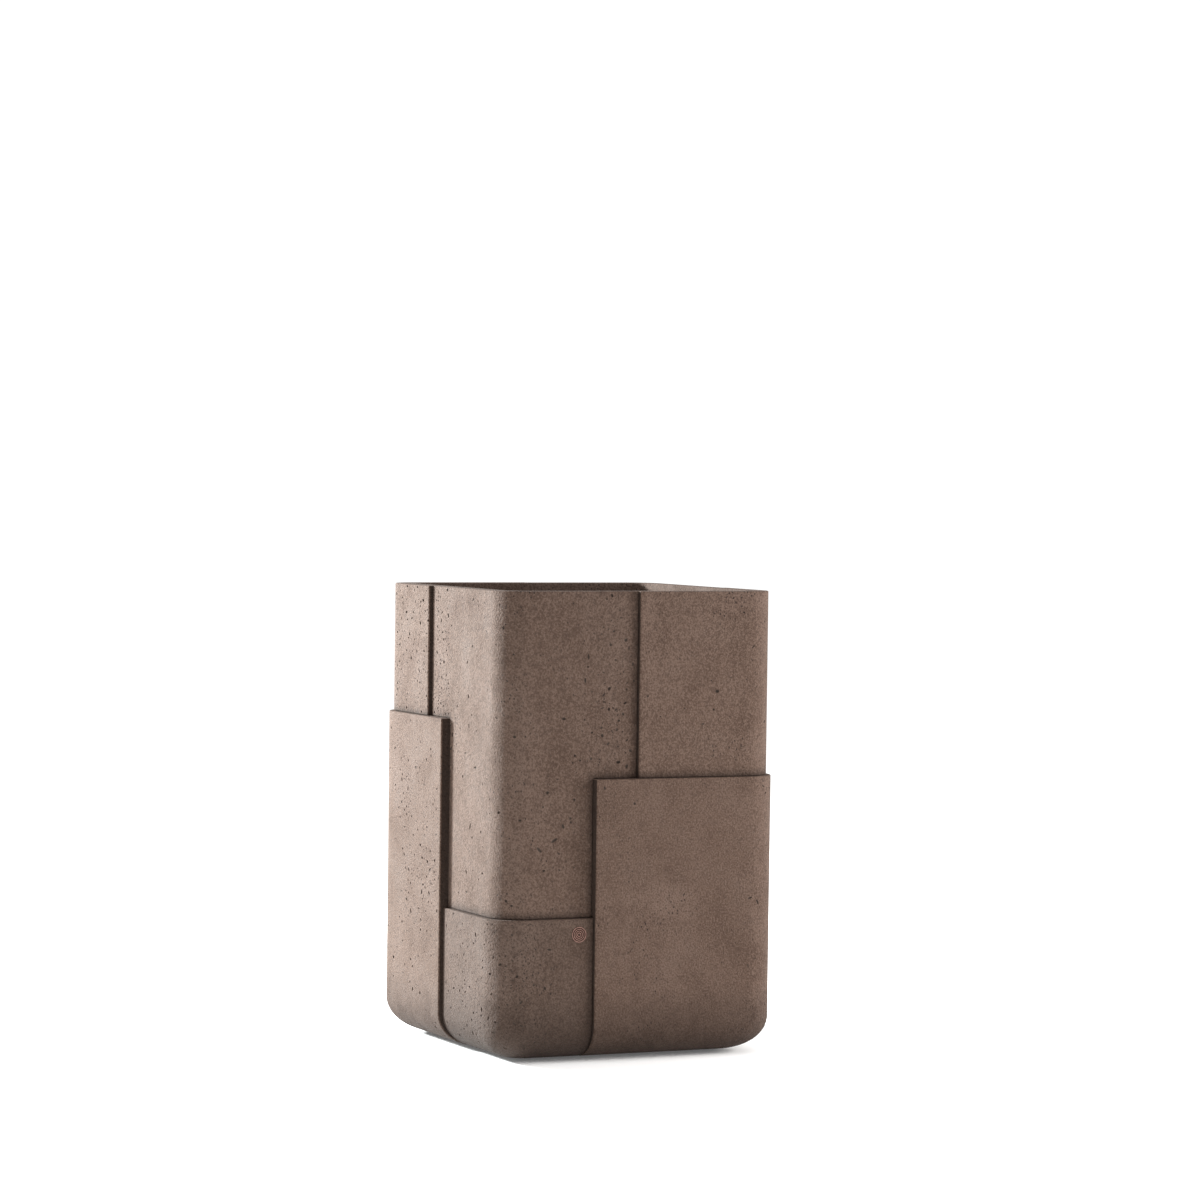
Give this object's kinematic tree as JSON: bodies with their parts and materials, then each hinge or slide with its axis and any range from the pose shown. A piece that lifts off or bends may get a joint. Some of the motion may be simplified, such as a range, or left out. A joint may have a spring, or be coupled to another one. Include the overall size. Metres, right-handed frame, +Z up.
{
  "type": "planter box",
  "caption": "Tall square street planter: a concrete tub clad with overlapping concrete slabs, with a lift-out plastic liner and a drained base.",
  "frame": {"origin": "middle of the footprint, on the ground", "axes": "+Z up, -Y towards the front face, +X to the right seen from the front"},
  "size_m": [0.6, 0.6, 0.89],
  "materials": {
    "slab_concrete": "matte",
    "core_concrete": "matte",
    "liner_plastic": "matte",
    "drain_plastic": "matte",
    "cap_plastic": "satin",
    "stainless_steel": "brushed",
    "socket_steel": "satin",
    "pad_rubber": "matte",
    "badge_metal": "satin"
  },
  "bodies": {
    "planter_shell": {"core_tub": "core_concrete", "slab_front_left_upper": "slab_concrete", "slab_front_left_lower": "slab_concrete", "slab_front_right_upper": "slab_concrete", "slab_front_right_lower": "slab_concrete", "slab_back_right_upper": "slab_concrete", "slab_back_right_lower": "slab_concrete", "slab_back_left_upper": "slab_concrete", "slab_back_left_lower": "slab_concrete", "badge_disc": "badge_metal", "drain_sleeve": "drain_plastic", "drain_strainer": "drain_plastic", "base_pad_front_left": "pad_rubber", "base_pad_front_right": "pad_rubber", "base_pad_back_right": "pad_rubber", "base_pad_back_left": "pad_rubber", "lifting_socket_front": "socket_steel", "lifting_socket_right": "socket_steel", "lifting_socket_back": "socket_steel", "lifting_socket_left": "socket_steel", "socket_cap_front": "cap_plastic", "socket_cap_right": "cap_plastic", "socket_cap_back": "cap_plastic", "socket_cap_left": "cap_plastic"},
    "liner_body": {"liner": "liner_plastic", "handle_bracket_left_front": "liner_plastic", "handle_bracket_left_back": "liner_plastic", "handle_bracket_right_front": "liner_plastic", "handle_bracket_right_back": "liner_plastic"},
    "drainage_plate_body": {"drainage_plate": "drain_plastic"},
    "handle_left_body": {"liner_handle_left": "stainless_steel"},
    "handle_right_body": {"liner_handle_right": "stainless_steel"}
  },
  "joints": [
    {"name": "liner_lift", "type": "slide", "parent": "planter_shell", "child": "liner_body", "axis": [0, 0, 1], "range_m": [0, 0.5]},
    {"name": "plate_lift", "type": "slide", "parent": "liner_body", "child": "drainage_plate_body", "axis": [0, 0, 1], "range_m": [0, 0.46]},
    {"name": "handle_left_swing", "type": "hinge", "parent": "liner_body", "child": "handle_left_body", "pos_m": [-0.221, 0, 0.838], "axis": [0, -1, 0], "range_deg": [0, 172]},
    {"name": "handle_right_swing", "type": "hinge", "parent": "liner_body", "child": "handle_right_body", "pos_m": [0.221, 0, 0.838], "axis": [0, 1, 0], "range_deg": [0, 172]}
  ]
}
